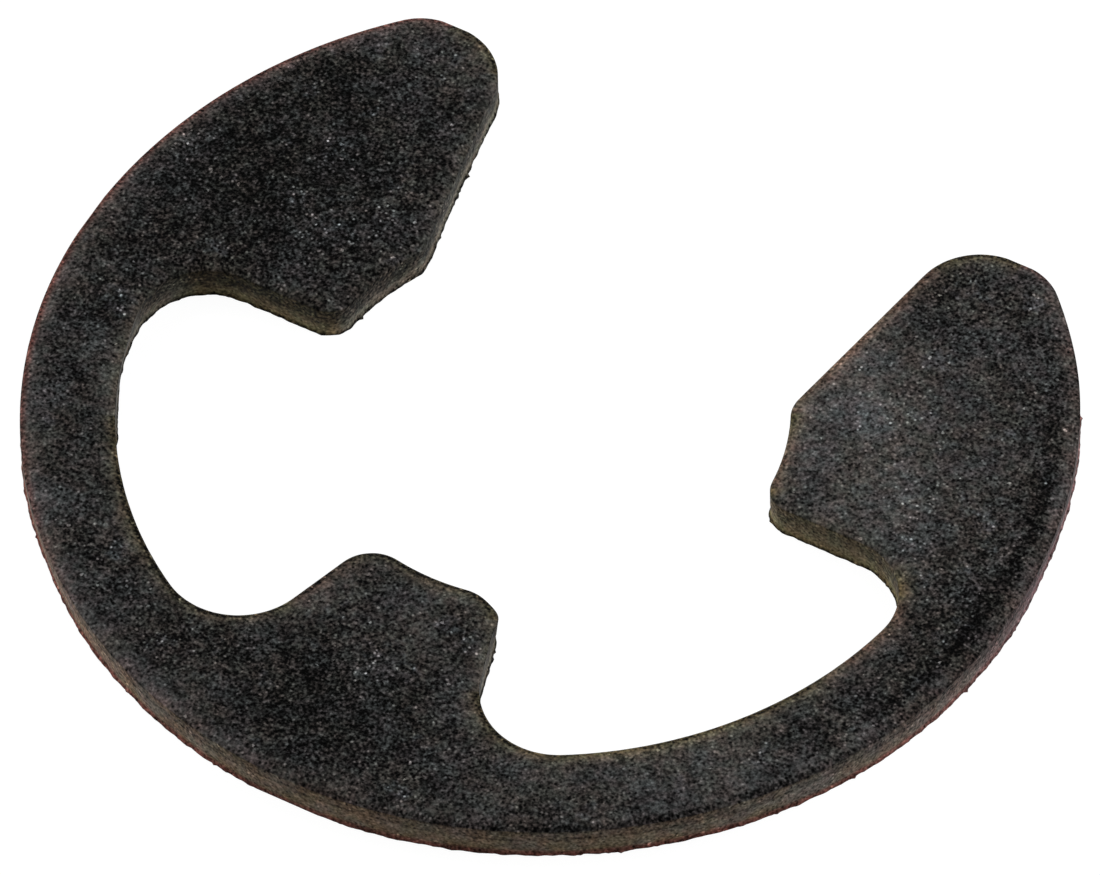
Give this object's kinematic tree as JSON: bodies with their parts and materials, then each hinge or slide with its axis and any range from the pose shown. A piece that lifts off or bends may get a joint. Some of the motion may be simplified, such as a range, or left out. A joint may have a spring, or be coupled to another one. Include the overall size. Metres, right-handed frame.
{
  "type": "e clip",
  "caption": "Flat stamped spring steel E-shaped retaining ring that snaps sideways into a shaft groove and grips its floor with three inward prongs; dull black phosphate finish.",
  "frame": {"origin": "centre of the shaft seat, on the plane of the lower face", "axes": "+X across the clip from arm to arm, +Y out of the mouth, the way the clip comes off the shaft, +Z along the shaft's axis, out of the face with the rolled edges"},
  "size_m": [0.0168, 0.0146, 0.0006],
  "materials": {
    "phosphated_steel": "dull black phosphate and oil coat on carbon spring steel, finely speckled, with browner sheared edges"
  },
  "bodies": {
    "root": {"e_clip": "phosphated_steel"}
  },
  "joints": []
}
